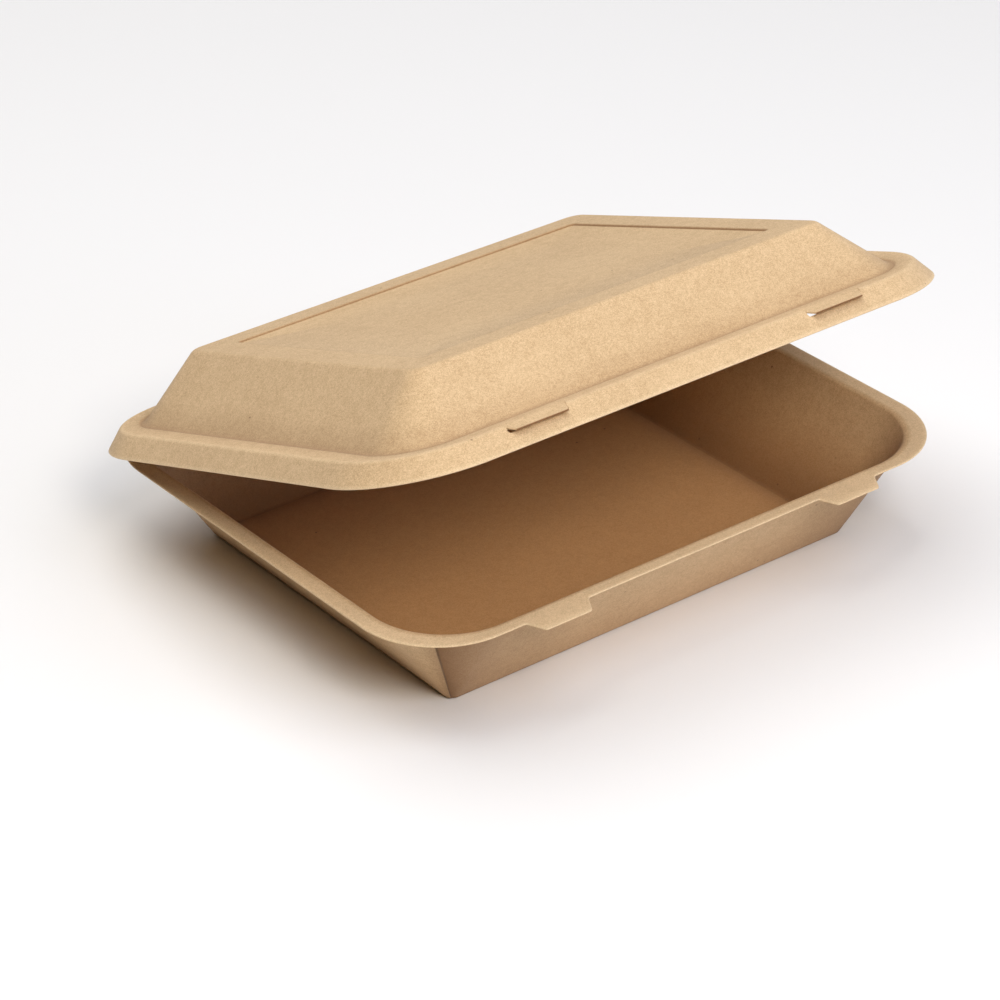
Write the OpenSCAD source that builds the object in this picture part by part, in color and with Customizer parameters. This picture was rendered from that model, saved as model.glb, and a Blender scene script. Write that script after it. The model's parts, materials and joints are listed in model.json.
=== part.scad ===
// Moulded fibre takeaway box: a deep tapered tray and a shallow domed lid, hinged along one long side.
// X runs along the hinge, the front with its two lock tabs faces -Y, Z is up.
// The origin is the middle of the tray's underside.

/* [Sheet] */
// Thickness of the moulded fibre
sheet = 0.5; // [0.4:0.05:0.7]

/* [Tray rim] */
// Length of the rim's outer edge, along the hinge
rim_len = 230; // [215:1:245]
// Depth of the rim's outer edge, from back to front
rim_dep = 187; // [173:1:201]
// Height of the rim over the table
tray_h = 37.6; // [30:0.2:46]
// Corner radius of the rim's outer edge
rim_r = 30.5; // [28:0.5:36]
// Width of the flat rim at the two ends
rim_end_w = 6.6; // [5.5:0.1:8]
// Width of the flat rim along the front and the back
rim_side_w = 4.95; // [4.5:0.05:7]
// Corner radius of the mouth, where wall and rim meet
mouth_r = 28.5; // [24:0.5:30]
// Rounding of the mouth's edge
mouth_bend = 1.6; // [1:0.1:2.2]

/* [Tray floor] */
// Length of the floor, outside
floor_len = 168.8; // [150:0.2:180]
// Depth of the floor, outside
floor_dep = 135.6; // [120:0.2:145]
// Corner radius of the floor
floor_r = 3; // [2.5:0.1:8]
// Rounding between floor and wall, outside
floor_bend = 2; // [1.6:0.1:3]
// How far the end wall's fold stands out along each corner's seam
seam_lap = 0.45; // [0.2:0.05:0.5]

/* [Lock tabs] */
// Distance between the middles of the two tabs
tab_pitch = 122.4; // [100:0.2:135]
// Width of a tab at the rim
tab_root = 24.5; // [22:0.1:28]
// Width of a tab at its tip
tab_tip = 18.3; // [16:0.1:20]
// Length of a tab beyond the rim
tab_len = 5.75; // [5:0.05:7]
// Width of rim that bends down with a tab
tab_fold = 3.1; // [2.4:0.1:3.2]
// Angle by which a tab points down
tab_droop = 5; // [4:0.5:6]
// Rounding of a tab's corners and roots
tab_bend = 0.9; // [0.4:0.1:1.5]

/* [Lid] */
// Angle by which the lid stands open
lid_open = 19.5; // [0:0.5:180]
// Height of the dome's top over the rim, with the lid shut
dome_h = 20.9; // [16:0.1:26]
// Length of the dome's top
top_len = 168.2; // [155:0.2:178]
// Depth of the dome's top
top_dep = 137; // [125:0.2:142]
// Corner radius of the dome's top
top_r = 5; // [4:0.5:9]
// Rounding of the dome's top edge
top_bend = 2.6; // [1.6:0.1:3.2]
// Length of the dome's foot
foot_len = 210.8; // [206:0.2:211.4]
// Depth of the dome's foot
foot_dep = 168.4; // [166:0.2:169.4]
// Corner radius of the dome's foot
foot_r = 18; // [14:0.5:24]
// Hollow rounding of the dome's foot
foot_bend = 3; // [2:0.1:3.4]
// Length of the sunk panel in the dome's top
panel_len = 145.2; // [120:0.2:150]
// Depth of the sunk panel, from back to front
panel_dep = 110.8; // [90:0.2:118]
// Corner radius of the sunk panel
panel_r = 2; // [1.5:0.1:4]
// How far the panel is sunk
panel_sink = 0.8; // [0.4:0.05:1]

/* [Lid flange] */
// Height of the ledge over the groove at the dome's foot
groove_h = 0.3; // [0.2:0.05:0.3]
// Height of the ridge over the ledge
ridge_h = 0.25; // [0.1:0.05:0.4]
// Rounding of the ridge
ridge_bend = 2; // [1.4:0.1:2.4]
// How far the skirt hangs below the rim
skirt_drop = 5.5; // [4:0.1:7]
// Slope of the skirt from level
skirt_slope = 50; // [45:1:58]

/* [Fit of the shut lid] */
// Gap between the rim and the ledge
lid_gap = 0.4; // [0.4:0.05:0.6]
// Gap between the rim's edge and the skirt
edge_gap = 0.4; // [0.35:0.05:0.9]
// Gap over and under a tab in its slit
latch_gap = 0.1; // [0.1:0.01:0.2]
// Gap beside a tab in its slit
side_gap = 0.25; // [0.2:0.05:0.4]

/* [Tongues] */
// Width of the flap over each slit, at the ledge
tongue_root = 22.9; // [21:0.1:24]
// Width of the flap over each slit, at its tip
tongue_tip = 19.2; // [17:0.1:20.5]
// Length of the flap over each slit
tongue_len = 5.4; // [4.6:0.1:5.6]
// Width of the cut beside the flap
tongue_cut = 0.25; // [0.2:0.05:0.4]

/* [Hinge] */
// Length of the hinge strip
hinge_len = 152; // [120:1:154]
// Distance from the rim's back edge to the hinge line
hinge_off = 3.4; // [3:0.1:6]
// Clearance of each half of the strip from the hinge line
hinge_gap = 0.2; // [0.15:0.05:0.3]

/* [Hidden] */

kraft = "burlywood";
corner_steps = 10;
bend_steps = 4;
// overlap of pieces that are joined, and reach of a cut past what it cuts
bite = 0.6;
reach = 8;
// where round a corner the seam lies, half the width of its step, and where the fold starts to lift
seam_mid = 45;
seam_half = 0.5;
seam_start = 18;
// rounding of the rim's cut edge
edge_bend = 0.7 * sheet;

rim_x = rim_len / 2;
rim_y = rim_dep / 2;
mouth_x = rim_x - rim_end_w;
mouth_y = rim_y - rim_side_w;
floor_x = floor_len / 2;
floor_y = floor_dep / 2;

// Lean of a wall from upright, for a sheet whose two faces start from opposite ends
function lean(run, rise) = atan((run + sheet / cos(atan(run / rise))) / rise);
lean_x = lean(mouth_x - floor_x, tray_h);
lean_y = lean(mouth_y - floor_y, tray_h);

// the lid's heights are over the rim's top, for the shut lid
ledge_z = lid_gap + sheet;
groove_z = ledge_z - groove_h;
ridge_z = ledge_z + ridge_h;
foot_x = foot_len / 2;
foot_y = foot_dep / 2;
top_x = top_len / 2;
top_y = top_dep / 2;
dome_lean_x = atan((foot_x - top_x) / (dome_h - groove_z));
dome_lean_y = atan((foot_y - top_y) / (dome_h - groove_z));

// the skirt's outside passes the level of the rim's top this far outside the rim
skirt_out = edge_gap + sheet / sin(skirt_slope);
skirt_lean = 90 - skirt_slope;
function skirt_at(z) = skirt_out - z / tan(skirt_slope);
ridge_out = skirt_at(ridge_z);
// how far inside the ridge's sharp corner the tongues set off
ridge_flat = 0.9 * ridge_bend;

// the level of a tab's top at a distance y in front of the middle, from the rim's top
fold_y = rim_y - tab_fold;
function tab_top(y) = -(y - fold_y) * tan(tab_droop);
tab_under = sheet / cos(tab_droop);
tab_taper = (tab_root - tab_tip) / 2 / tab_len;
// the slit's lower edge lies where the tab's underside, less the gap, meets the skirt's outside
slit_z = (tab_top(rim_y + skirt_out) - tab_under - latch_gap) / (1 - tan(tab_droop) / tan(skirt_slope));
tongue_y = rim_y + ridge_out - ridge_flat;
tongue_end = tongue_y + tongue_len;
// the tongue's tip clears the tab, and its sheet is a little thicker when measured upright
tongue_drop = ridge_z - 1.05 * sheet - latch_gap - tab_top(tongue_end);

hinge_y = rim_y + hinge_off;
hinge_z = tray_h + lid_gap / 2;

// Outline of one ring: a rounded rectangle with its half sizes, corner radius, level and seam
function corner_angles() = concat(
    [for (i = [0:corner_steps / 2 - 1]) i * 90 / corner_steps],
    [seam_mid - seam_half, seam_mid + seam_half],
    [for (i = [corner_steps / 2 + 1:corner_steps]) i * 90 / corner_steps]);
function seam(a, lap) = a > seam_mid ? 0
    : lap * max(0, a - seam_start) / (seam_mid - seam_half - seam_start);
function quarter(hx, hy, r, lap) = [for (a = corner_angles())
    [hx - r + (r + seam(a, lap)) * cos(a), hy - r + (r + seam(a, lap)) * sin(a)]];
function flipped(list) = [for (i = [len(list) - 1:-1:0]) list[i]];
function ring(hx, hy, r, z, lap = 0) = let (q = quarter(hx, hy, r, lap)) concat(
    [for (p = q) [p[0], p[1], z]],
    [for (p = flipped(q)) [-p[0], p[1], z]],
    [for (p = q) [-p[0], -p[1], z]],
    [for (p = flipped(q)) [p[0], -p[1], z]]);

// A bend between a level face and a wall that leans: how far out it is at a height h over the level face,
// counted from the sharp corner
function bend(h, lean, b) = h >= b * (1 - sin(lean)) ? h * tan(lean)
    : sqrt(max(0, b * b - (b - h) * (b - h))) - b * tan((90 - lean) / 2);
function levels(b, lean) = [for (i = [0:bend_steps]) b * (1 - cos(i * (90 - lean) / bend_steps))];

// One closed skin from a list of rings, capped at its first and last ring
module loft(rings) {
    n = len(rings[0]);
    m = len(rings);
    sides = [for (k = [0:m - 2], i = [0:n - 1]) let (j = (i + 1) % n)
        each [[k * n + i, (k + 1) * n + i, (k + 1) * n + j], [k * n + i, (k + 1) * n + j, k * n + j]]];
    first = [for (i = [0:n - 1]) i];
    last = [for (i = [n - 1:-1:0]) (m - 1) * n + i];
    polyhedron([for (r = rings) each r], concat(sides, [first], [last]));
}

// The tray's corner radius grows with the level, so its corners are parts of cones
function tray_r(z) = floor_r + (mouth_r - floor_r) * z / tray_h;

// where the wall's outer face, drawn on, meets the rim's underside, counted from the mouth's edge
function under_mouth(lean) = sheet / cos(lean) - sheet * tan(lean);
mouth_bend_out = mouth_bend - sheet;
function tray_outside() = concat(
    [for (h = levels(floor_bend, lean_y)) ring(floor_x + bend(h, lean_x, floor_bend),
        floor_y + bend(h, lean_y, floor_bend), tray_r(h), h, seam_lap * min(1, h / floor_bend))],
    [for (h = flipped(levels(mouth_bend_out, lean_y))) let (z = tray_h - sheet - h)
        ring(mouth_x + under_mouth(lean_x) - bend(h, lean_x, mouth_bend_out),
             mouth_y + under_mouth(lean_y) - bend(h, lean_y, mouth_bend_out), tray_r(z), z, seam_lap)]);
// the rim's edge, with its upper corner rounded a little
function edge_ring(in, down) = ring(rim_x - in, rim_y - in, rim_r, tray_h - down);
edge_mid = edge_bend * (1 - cos(45));
function tray_edge() = [
    edge_ring(0, sheet), edge_ring(0, edge_bend), edge_ring(edge_mid, edge_mid), edge_ring(edge_bend, 0)];
floor_bend_in = floor_bend - sheet;
function floor_in(half, lean) = half + sheet * tan(lean) - sheet / cos(lean);
function tray_inside() = concat(
    [for (h = levels(mouth_bend, lean_y)) ring(mouth_x - bend(h, lean_x, mouth_bend),
        mouth_y - bend(h, lean_y, mouth_bend), mouth_r, tray_h - h)],
    [for (h = flipped(levels(floor_bend_in, lean_y))) ring(
        floor_in(floor_x, lean_x) + bend(h, lean_x, floor_bend_in),
        floor_in(floor_y, lean_y) + bend(h, lean_y, floor_bend_in), tray_r(sheet + h) - sheet, sheet + h)]);

// A flap seen from above, narrowing outwards from y0 to y1, given the half width at y0
module flap(half, taper, y0, y1) {
    polygon([[-half, -y0], [half, -y0], [half - (y1 - y0) * taper, -y1], [-half + (y1 - y0) * taper, -y1]]);
}
// half width of a tab at a distance y in front of the middle
function tab_half(y) = tab_root / 2 - (y - rim_y) * tab_taper;

// Everything above a plane that falls away in front of the line y, z
module over_slope(y, z, angle) {
    translate([0, -y, z]) rotate([angle, 0, 0]) translate([-tab_root, -2 * reach, 0])
        cube([2 * tab_root, 2 * reach, reach]);
}
module at_tabs() {
    for (s = [-1, 1]) translate([s * tab_pitch / 2, 0, 0]) children();
}
// one tab: a flat plate that leaves the rim at the fold and points a little down
module tab() {
    translate([0, -fold_y, tray_h]) rotate([tab_droop, 0, 0]) translate([0, fold_y, -sheet])
        linear_extrude(sheet) {
            translate([-tab_root / 2, -rim_y]) square([tab_root, tab_fold]);
            intersection() {
                offset(r = tab_bend) offset(r = -2 * tab_bend) offset(delta = tab_bend) {
                    flap(tab_root / 2, tab_taper, rim_y, rim_y + tab_len);
                    translate([-tab_root, -rim_y]) square([2 * tab_root, rim_side_w]);
                }
                translate([-tab_root, -rim_y - reach]) square([2 * tab_root, reach + bite / 2]);
            }
        }
}

module tray() {
    color(kraft) {
        difference() {
            loft(concat(tray_outside(), tray_edge(), tray_inside()));
            at_tabs() intersection() {
                over_slope(fold_y, tray_h, tab_droop);
                translate([-tab_root / 2, -rim_y - reach, 0]) cube([tab_root, reach + tab_fold, 2 * tray_h]);
            }
        }
        at_tabs() tab();
        translate([-hinge_len / 2, rim_y - bite, tray_h - sheet])
            cube([hinge_len, hinge_off + bite - hinge_gap, sheet]);
    }
}

// The lid's upper and lower faces as rings from the panel outwards, for the shut lid
function dome_r(z) = foot_r + (top_r - foot_r) * (z - groove_z) / (dome_h - groove_z);
function outside(out, z, r) = ring(rim_x + out, rim_y + out, r, z);
// run of the panel's sloped edge
panel_wall = 0.6 * panel_sink;
ridge_r = rim_r + ridge_out;
foot_flat = foot_bend * tan((90 - dome_lean_x) / 2);
foot_flat_y = foot_bend * tan((90 - dome_lean_y) / 2);
// how far the foot's bend stands out from the dome's wall drawn on
function foot_spread(h, b) = h * tan(dome_lean_x) - bend(h, dome_lean_x, b);
// run of the smooth rise from the groove to the ledge
ledge_rise = 4 * groove_h;
function ramp(from, to, part) = from + (to - from) * (1 - cos(180 * part)) / 2;
rise_steps = 4;
ledge_in = foot_flat + ledge_rise;
function ledge_rings(under) = [for (i = [1:rise_steps])
    let (part = i / rise_steps, out = foot_flat + (ledge_in - foot_flat) * part,
        out_y = foot_flat_y + (ledge_in - foot_flat_y) * part)
    ring(foot_x + out, foot_y + out_y, foot_r + out, ramp(groove_z, ledge_z, part) - under)];
function lid_top() = concat(
    [ring(panel_len / 2 - panel_wall, panel_dep / 2 - panel_wall, panel_r - panel_wall, dome_h - panel_sink),
     ring(panel_len / 2, panel_dep / 2, panel_r, dome_h)],
    [for (h = levels(top_bend, dome_lean_y)) ring(top_x + bend(h, dome_lean_x, top_bend),
        top_y + bend(h, dome_lean_y, top_bend), dome_r(dome_h - h), dome_h - h)],
    [for (h = flipped(levels(foot_bend, dome_lean_y))) ring(foot_x - bend(h, dome_lean_x, foot_bend),
        foot_y - bend(h, dome_lean_y, foot_bend), dome_r(groove_z + h) + foot_spread(h, foot_bend),
        groove_z + h)],
    ledge_rings(0),
    [for (h = levels(ridge_bend, skirt_lean)) let (out = ridge_out + bend(h, skirt_lean, ridge_bend))
        outside(out, ridge_z - h, ridge_r + out - ridge_out)],
    [outside(skirt_at(-skirt_drop), -skirt_drop, rim_r + skirt_at(-skirt_drop))]);

ridge_bend_in = ridge_bend - sheet;
ridge_in = ridge_out - sheet * tan(skirt_slope / 2);
foot_bend_in = foot_bend + sheet;
top_bend_in = top_bend - sheet;
// how far a corner moves sideways when both its faces move in by the sheet's thickness
function mitre(lean) = sheet * tan((90 - lean) / 2);
function lid_under() = concat(
    [outside(skirt_at(-skirt_drop) - sheet * sin(skirt_slope), -skirt_drop - sheet * cos(skirt_slope),
        rim_r + skirt_at(-skirt_drop) - sheet * sin(skirt_slope))],
    [for (h = flipped(levels(ridge_bend_in, skirt_lean)))
        let (out = ridge_in + bend(h, skirt_lean, ridge_bend_in))
            outside(out, ridge_z - sheet - h, ridge_r + out - ridge_out)],
    flipped(ledge_rings(sheet)),
    [for (h = levels(foot_bend_in, dome_lean_y)) ring(
        foot_x - mitre(dome_lean_x) - bend(h, dome_lean_x, foot_bend_in),
        foot_y - mitre(dome_lean_y) - bend(h, dome_lean_y, foot_bend_in),
        dome_r(groove_z + h) + foot_spread(h, foot_bend_in) - mitre(dome_lean_x), groove_z - sheet + h)],
    [for (h = flipped(levels(top_bend_in, dome_lean_y))) ring(
        top_x - mitre(dome_lean_x) + bend(h, dome_lean_x, top_bend_in),
        top_y - mitre(dome_lean_y) + bend(h, dome_lean_y, top_bend_in),
        dome_r(dome_h - h) - mitre(dome_lean_x), dome_h - sheet - h)],
    [ring(panel_len / 2 + sheet / 2, panel_dep / 2 + sheet / 2, panel_r + sheet / 2, dome_h - sheet),
     ring(panel_len / 2 + sheet / 2 - panel_wall, panel_dep / 2 + sheet / 2 - panel_wall,
        panel_r + sheet / 2 - panel_wall, dome_h - panel_sink - sheet)]);

// The slit in the skirt: as wide as the tab at the tab's level, and a narrow cut round the tongue above it
module slit() {
    level = tab_top(rim_y + skirt_out);
    translate([0, 0, slit_z]) linear_extrude(level + latch_gap - slit_z)
        flap(tab_half(rim_y) + side_gap, tab_taper, rim_y, rim_y + tab_len);
    translate([0, 0, level]) linear_extrude(reach)
        flap(tongue_root / 2 + tongue_cut, tongue_taper, tongue_y, tongue_y + 2 * reach);
}
tongue_taper = (tongue_root - tongue_tip) / 2 / tongue_len;
// The tongue over a slit: the ledge carries on, a little downwards, where the skirt falls away
module tongue() {
    slope = tongue_drop / tongue_len;
    thick = sheet * sqrt(1 + slope * slope);
    intersection() {
        translate([-tongue_root, 0, 0]) rotate([90, 0, 90]) linear_extrude(2 * tongue_root) polygon([
            [-tongue_y + bite, ridge_z - sheet], [-tongue_y + bite, ridge_z - sheet / 4],
            [-tongue_y, ridge_z], [-tongue_end, ridge_z - tongue_drop],
            [-tongue_end + sheet * slope, ridge_z - tongue_drop - thick + sheet * slope * slope],
            [-tongue_y, ridge_z - thick]]);
        linear_extrude(2 * reach, center = true)
            flap(tongue_root / 2 + bite * tongue_taper, tongue_taper, tongue_y - bite, tongue_end);
    }
}

// The skirt's lower edge climbs to the rim's level round the back corners, clear of the hinge
back_y = rim_y;
module back_trim() {
    low = skirt_drop + reach;
    translate([-rim_len, 0, 0]) rotate([90, 0, 90]) linear_extrude(2 * rim_len) polygon([
        [back_y - low, lid_gap - low], [back_y, lid_gap],
        [back_y + 2 * reach, lid_gap], [back_y + 2 * reach, -low]]);
}

module shut_lid() {
    difference() {
        loft(flipped(concat(lid_top(), lid_under())));
        at_tabs() slit();
        back_trim();
    }
    at_tabs() tongue();
    translate([-hinge_len / 2, rim_y - bite, lid_gap])
        cube([hinge_len, hinge_off + bite - hinge_gap, sheet]);
}

module lid() {
    color(kraft)
        translate([0, hinge_y, hinge_z]) rotate([-lid_open, 0, 0])
            translate([0, -hinge_y, tray_h - hinge_z]) shut_lid();
}

tray();
lid();
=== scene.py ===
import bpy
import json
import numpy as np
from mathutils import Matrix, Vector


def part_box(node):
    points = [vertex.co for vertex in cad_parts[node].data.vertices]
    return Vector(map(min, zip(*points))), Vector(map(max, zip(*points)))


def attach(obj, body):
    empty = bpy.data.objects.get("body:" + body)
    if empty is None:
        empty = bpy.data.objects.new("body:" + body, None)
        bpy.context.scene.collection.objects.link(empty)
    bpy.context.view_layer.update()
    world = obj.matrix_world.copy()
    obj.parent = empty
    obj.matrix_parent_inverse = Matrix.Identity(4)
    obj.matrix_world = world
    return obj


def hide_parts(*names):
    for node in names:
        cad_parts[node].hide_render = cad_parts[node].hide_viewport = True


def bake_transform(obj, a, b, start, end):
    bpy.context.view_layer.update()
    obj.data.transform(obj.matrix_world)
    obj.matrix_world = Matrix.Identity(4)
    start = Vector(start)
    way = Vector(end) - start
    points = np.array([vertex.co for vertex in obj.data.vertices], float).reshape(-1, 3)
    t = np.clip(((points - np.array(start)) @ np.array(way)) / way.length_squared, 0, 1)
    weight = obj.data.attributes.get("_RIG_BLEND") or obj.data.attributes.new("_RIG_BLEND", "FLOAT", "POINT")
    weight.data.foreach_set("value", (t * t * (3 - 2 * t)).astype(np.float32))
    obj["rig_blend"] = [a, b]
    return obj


bl_info = {
    "name": "Moulded fibre takeaway box",
    "version": (1, 0, 0),
    "blender": (4, 5, 0),
    "location": "3D View > Sidebar > Takeaway box",
    "description": "Makes a hinged takeaway box of moulded kraft fibre",
    "category": "Object",
}

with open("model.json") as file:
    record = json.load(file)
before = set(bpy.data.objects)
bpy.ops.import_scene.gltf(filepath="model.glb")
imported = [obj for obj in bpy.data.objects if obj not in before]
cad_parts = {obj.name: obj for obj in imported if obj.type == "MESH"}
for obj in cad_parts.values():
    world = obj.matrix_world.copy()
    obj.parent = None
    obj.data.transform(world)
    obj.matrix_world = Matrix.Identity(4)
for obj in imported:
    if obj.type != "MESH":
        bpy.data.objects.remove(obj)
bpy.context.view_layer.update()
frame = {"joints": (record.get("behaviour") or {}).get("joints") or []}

import json
from math import atan, cos, exp, pi, radians, sin, sqrt, tan

import bmesh
import bpy
from mathutils import Matrix, Vector

tray_low, tray_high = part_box("tray")
hinge = frame["joints"][0]
_, HINGE_Y, HINGE_Z = hinge["pos_m"]
OPEN = -radians(hinge["range_deg"][0])  # how far the lid stands open at rest

SEAM = 45  # direction of the seam in a corner, in degrees
WELD = 0.000004  # points nearer than this are one point
HAIR = 1e-7  # what counts as no difference between two lengths
HALF_ROW = 0.5  # row numbers nearer than this are the same row
NO_ROW = -5  # row number of a point that lies on no row
BACK = 0.05  # everything further back belongs to the lid's back side
SHARP = 40  # edges that turn by more degrees than this stay sharp
WORN_EDGE = 0.00012  # rounding of the lid's cut edges
LATCH_REACH = 0.0165  # how far beside a tab's middle the skirt makes room
TAB_MARGIN = 0.002  # how far beside a tab's root the columns stay close
CLOSE, APART = 0.0003, 0.004  # spacing of the columns at a tab's ends and elsewhere
OVERLAP = 0.0006  # how far the tray's hinge strip runs into the rim


def length(name, millimetres, text):
    """A size in metres, shown as a distance."""
    return bpy.props.FloatProperty(
        name=name,
        description=text,
        default=millimetres * 0.001,
        min=0,
        unit="LENGTH",
        subtype="DISTANCE",
        precision=5,
    )


def angle(name, turn, text):
    """An angle, stored in radians and shown in degrees."""
    return bpy.props.FloatProperty(
        name=name, description=text, default=radians(turn), subtype="ANGLE"
    )


def number(name, value, text, high=10.0):
    """A plain number."""
    return bpy.props.FloatProperty(
        name=name, description=text, default=value, min=0, max=high
    )


def colour(name, value, text):
    """A linear colour."""
    return bpy.props.FloatVectorProperty(
        name=name,
        description=text,
        default=value,
        size=3,
        min=0,
        max=1,
        subtype="COLOR",
    )


class TraySizes(bpy.types.PropertyGroup):
    """Sizes of the tray and its lock tabs."""

    sheet: length("Sheet", 0.5, "Thickness of the moulded fibre")
    rim_len: length(
        "Rim length", (tray_high.x - tray_low.x) * 1000, "Outer edge, along the hinge"
    )
    rim_dep: length("Rim depth", 187, "Outer edge, back to front")
    height: length("Height", tray_high.z * 1000, "Height of the rim over the table")
    rim_r: length("Rim corner", 30.5, "Corner radius of the rim's edge")
    rim_end_w: length("Rim at the ends", 6.6, "Width of the flat rim")
    rim_side_w: length("Rim at the front", 4.95, "Width of the flat rim")
    mouth_r: length("Mouth corner", 28.5, "Corner radius where wall and rim meet")
    mouth_bend: length("Mouth rounding", 1.6, "Rounding between wall and rim")
    floor_len: length("Floor length", 168.8, "Floor, outside")
    floor_dep: length("Floor depth", 135.6, "Floor, outside")
    floor_r: length("Floor corner", 3, "Corner radius of the floor")
    floor_bend: length("Floor rounding", 2, "Rounding between floor and wall")
    seam_lap: length("Seam lap", 0.45, "Step at each corner's seam")
    tab_pitch: length("Tab pitch", 122.4, "Between the middles of the tabs")
    tab_root: length("Tab root", 24.5, "Width of a tab at the rim")
    tab_tip: length("Tab tip", 18.3, "Width of a tab at its tip")
    tab_len: length("Tab length", 5.75, "Length of a tab beyond the rim")
    tab_fold: length("Tab fold", 3.1, "Width of rim that bends down with a tab")
    tab_droop: angle("Tab droop", 5, "Angle by which a tab points down")
    tab_bend: length("Tab rounding", 1.6, "Rounding of a tab's corners and roots")


class LidSizes(bpy.types.PropertyGroup):
    """Sizes of the lid, counted from the tray's rim with the lid shut."""

    dome_h: length("Dome height", 20.9, "Top of the dome over the rim")
    top_len: length("Top length", 168.2, "Dome's top")
    top_dep: length("Top depth", 137, "Dome's top")
    top_r: length("Top corner", 5, "Corner radius of the dome's top")
    top_bend: length("Top rounding", 2.6, "Rounding of the dome's top edge")
    foot_len: length("Foot length", 210.8, "Dome's foot")
    foot_dep: length("Foot depth", 168.4, "Dome's foot")
    foot_r: length("Foot corner", 18, "Corner radius of the dome's foot")
    foot_bend: length("Foot hollow", 3, "Hollow rounding of the dome's foot")
    panel_len: length("Panel length", 145.2, "Sunk panel in the top")
    panel_dep: length("Panel depth", 110.8, "Sunk panel in the top")
    panel_r: length("Panel corner", 2, "Corner radius of the sunk panel")
    panel_sink: length("Panel sink", 0.8, "How far the panel is sunk")
    groove_h: length("Groove", 0.3, "Height of the ledge over the groove")
    ridge_h: length("Ridge", 0.25, "Height of the ridge over the ledge")
    ridge_bend: length("Ridge rounding", 2, "Rounding of the ridge")
    skirt_drop: length("Skirt drop", 5.5, "How far the skirt hangs below the rim")
    skirt_slope: angle("Skirt slope", 50, "Slope of the skirt from level")
    lid_gap: length("Lid gap", 0.4, "Between the rim and the shut lid's ledge")
    edge_gap: length("Edge gap", 0.4, "Between the rim's edge and the skirt")
    latch_gap: length("Latch gap", 0.05, "Over and under a tab in its slit")
    side_gap: length("Side gap", 0.3, "Beside a tab in its slit")
    tongue_root: length("Tongue root", 26, "Flap over a slit, at the ledge")
    tongue_tip: length("Tongue tip", 20, "Flap over a slit, at its tip")
    tongue_len: length("Tongue length", 5.5, "Length of the flap over a slit")
    tongue_cut: length("Tongue cut", 0.1, "Width of the cut beside the flap")
    hinge_len: length("Hinge strip", 152, "Length of the hinge strip")
    hinge_gap: length("Hinge gap", 0.2, "From each half of the strip to the fold")


class FibreLook(bpy.types.PropertyGroup):
    """Colours and grain of the kraft fibre."""

    pale: colour("Pale fibre", (0.655, 0.470, 0.270), "Colour of the clean fibre")
    deep: colour("Deep fibre", (0.500, 0.325, 0.165), "Colour between the fibres")
    # loose fibres make cut edges paler; the same colour also paints highlights on the ridge, the rim's top
    # and the cut edges
    fluff_and_highlight: colour("Cut edge", (0.82, 0.62, 0.38), "Colour of loose fibres on an edge")
    # dark specks of the fibre; the same colour also paints the shadow line along each corner seam
    fleck_and_seam_shadow: colour("Fleck", (0.16, 0.085, 0.035), "Colour of the dark flecks")
    # painted shade: this colour stands in for the shade in creases, hollows, grooves and beside the corner
    # seams
    fold: colour("Fold", (0.2, 0.09, 0.03), "Colour in the shaded corner folds")
    # painted shade: a deeper tone that stands in for the shade down the walls, deeper inside the tray
    wall_shade: colour("Wall shade", (0.50, 0.24, 0.075), "Tone that deepens down a wall")
    grain: length("Grain", 0.07, "Height of the surface grain")
    mottle: number("Mottle", 1.2, "Strength of the colour variation")


class StudioLook(bpy.types.PropertyGroup):
    """Camera, lights and floor."""

    azimuth: angle("Azimuth", -37.748, "Direction of view, from +Y")
    elevation: angle("Elevation", 30.114, "Height of the view over the horizon")
    roll: angle("Roll", -0.592, "Turn of the picture")
    place: bpy.props.FloatVectorProperty(
        name="Place",
        description="Where the camera stands",
        default=(-0.66089, -0.83902, 0.63221),
        subtype="TRANSLATION",
        unit="LENGTH",
    )
    lens: number("Lens", 129.944, "Focal length on a 36 mm frame", high=500)
    floor: colour("Floor", (0.84, 0.83, 0.82), "Colour of the floor")
    key: number("Key light", 18.8, "Large light in front", high=500)
    top: number("Top light", 37, "Large light over the back", high=500)
    side: number("Side light", 13, "Light in front on the left", high=500)
    front: number("Front light", 5, "Low light in front on the right", high=500)
    fill: number("Surroundings", 0.03, "Strength of the even light all round")


class Wire:
    """A node's output that takes part in sums like a number."""

    def __init__(self, tree, socket):
        self.tree, self.socket = tree, socket

    def node(self, kind, settings=None, values=None, out=0):
        """Adds a node: its settings first, then the values or wires of its inputs."""
        made = self.tree.nodes.new(kind)
        for key, value in (settings or {}).items():
            setattr(made, key, value)
        for key, value in (values or {}).items():
            if isinstance(value, Wire):
                self.tree.links.new(value.socket, made.inputs[key])
            else:
                made.inputs[key].default_value = value
        return Wire(self.tree, made.outputs[out])

    def math(self, operation, *others):
        """Adds a Math node with this wire as its first value."""
        values = dict(enumerate((self, *others)))
        return self.node("ShaderNodeMath", {"operation": operation}, values)

    def __add__(self, other):
        return self.math("ADD", other)

    def __sub__(self, other):
        return self.math("SUBTRACT", other)

    def __mul__(self, other):
        return self.math("MULTIPLY", other)

    def __truediv__(self, other):
        return self.math("DIVIDE", other)

    def __neg__(self):
        return self.math("MULTIPLY", -1)

    def __abs__(self):
        return self.math("ABSOLUTE")

    def __rsub__(self, other):
        return -self + other

    def step(self, low, high, start=0.0, end=1.0):
        """Rises smoothly from start to end while this wire goes from low to high."""
        return self.node(
            "ShaderNodeMapRange",
            {"interpolation_type": "SMOOTHSTEP"},
            {0: self, 1: low, 2: high, 3: start, 4: end},
        )


def mix(factor, first, second):
    """Mixes two colours or colour wires."""
    return factor.node(
        "ShaderNodeMix", {"data_type": "RGBA"}, {0: factor, 6: first, 7: second}, 2
    )


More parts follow.
